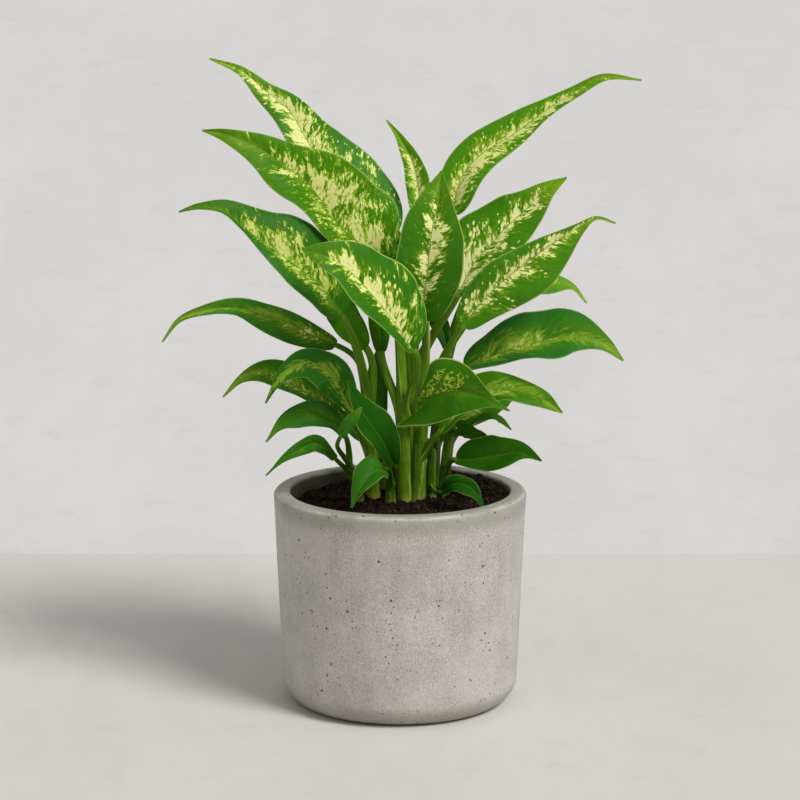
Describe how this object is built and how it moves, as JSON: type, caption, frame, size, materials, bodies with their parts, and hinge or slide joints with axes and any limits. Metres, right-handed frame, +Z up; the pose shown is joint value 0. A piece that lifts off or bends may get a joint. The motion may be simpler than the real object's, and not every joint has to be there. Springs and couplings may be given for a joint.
{
  "type": "potted dieffenbachia",
  "caption": "Potted foliage plant with broad pointed leaves on upright stems in a round concrete pot filled with soil.",
  "frame": {"origin": "centre of the pot's foot, on the surface that it stands on", "axes": "+Z up along the pot's axis, -Y towards the plant's front, +X to the right seen from the front"},
  "size_m": [0.2795, 0.1692, 0.3795],
  "materials": {
    "pot": "matte",
    "soil": "matte",
    "stem": "satin",
    "leaf": "satin"
  },
  "bodies": {
    "root": {"pot": "pot", "soil": "soil", "stem_middle": "stem", "stem_front_left": "stem", "stem_front_right": "stem", "stem_left": "stem", "stem_low_left": "stem", "stem_right": "stem", "stem_back": "stem", "stem_back_left": "stem", "stem_back_right": "stem", "leaf_top_left": "leaf", "leaf_second_left": "leaf", "leaf_third_left": "leaf", "leaf_fourth_left": "leaf", "leaf_arched_left": "leaf", "leaf_behind_arch": "leaf", "leaf_low_left": "leaf", "leaf_lowest_left": "leaf", "leaf_small_left": "leaf", "leaf_front_left": "leaf", "leaf_small_front": "leaf", "leaf_small_right": "leaf", "leaf_low_right": "leaf", "leaf_thin_right": "leaf", "leaf_behind_low_right": "leaf", "leaf_front_right": "leaf", "leaf_lower_right": "leaf", "leaf_third_right": "leaf", "leaf_second_right": "leaf", "leaf_upper_right": "leaf", "leaf_top_right": "leaf", "leaf_youngest": "leaf", "leaf_centre": "leaf", "leaf_front": "leaf", "leaf_under_third": "leaf", "leaf_back_middle_left": "leaf", "leaf_back_middle_right": "leaf", "leaf_back_top": "leaf", "leaf_back_top_left": "leaf", "leaf_back_top_right": "leaf", "leaf_back_right": "leaf", "leaf_inner_left": "leaf", "leaf_back_low_left": "leaf", "leaf_back_low": "leaf", "leaf_back_low_right": "leaf"}
  },
  "joints": []
}
